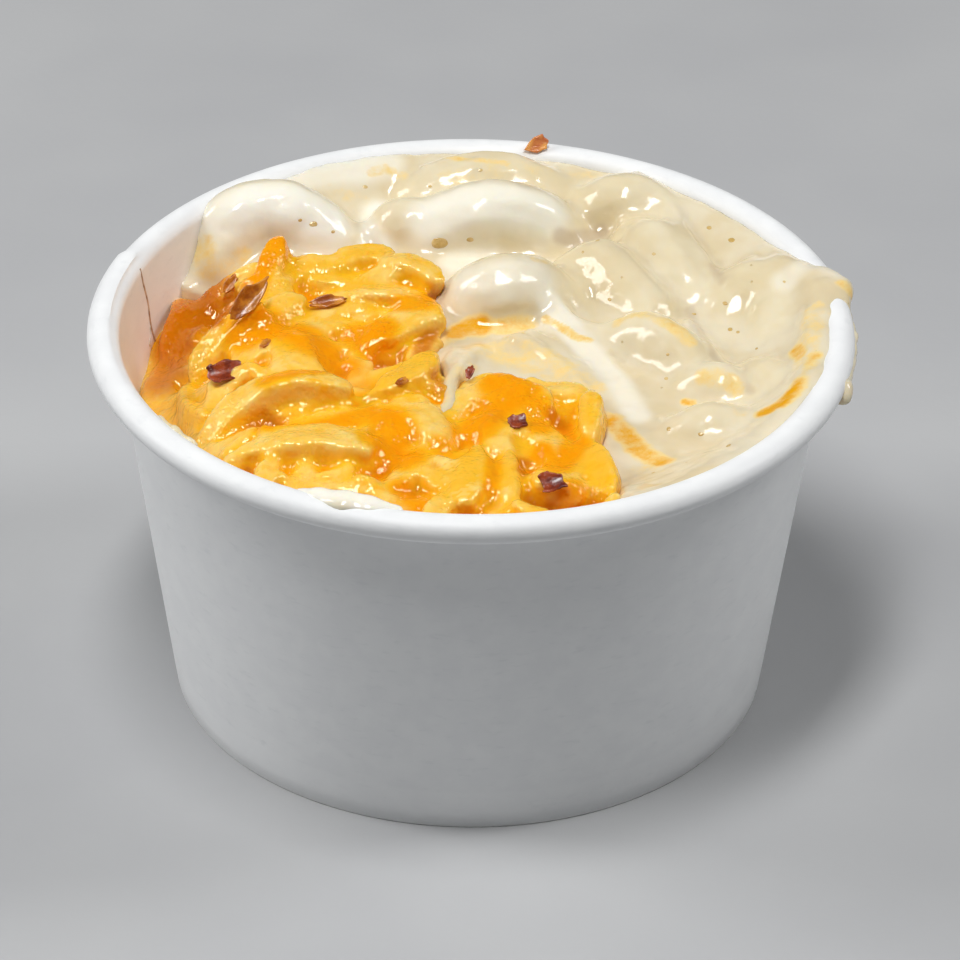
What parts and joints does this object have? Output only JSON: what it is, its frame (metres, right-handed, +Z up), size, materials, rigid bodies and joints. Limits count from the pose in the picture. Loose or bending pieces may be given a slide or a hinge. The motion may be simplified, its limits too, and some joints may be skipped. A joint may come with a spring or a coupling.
{
  "type": "mac and cheese in a paper tub",
  "caption": "Round rolled-rim paper tub filled with elbow macaroni in thick cheese sauce beside a heap of cheddar-glazed shreds.",
  "frame": {"origin": "on the tub's axis, at the surface it stands on", "axes": "+Z up; -Y is the front, with the shred heap at the left front and the sauce spilling over the rim towards +X"},
  "size_m": [0.0971, 0.096, 0.0529],
  "materials": {
    "tub_paper": "white food-grade board with a smooth satin coating",
    "cheese_sauce": "wet, glossy ivory cheese sauce with tiny amber pores",
    "glazed_shreds": "moist pale-yellow shreds under a glossy melted orange cheddar glaze, with dark browned flakes"
  },
  "bodies": {
    "root": {"paper_wall": "tub_paper", "base_disc": "tub_paper", "rim_sauce": "cheese_sauce", "sauced_macaroni": "cheese_sauce", "shred_heap": "glazed_shreds"}
  },
  "joints": []
}
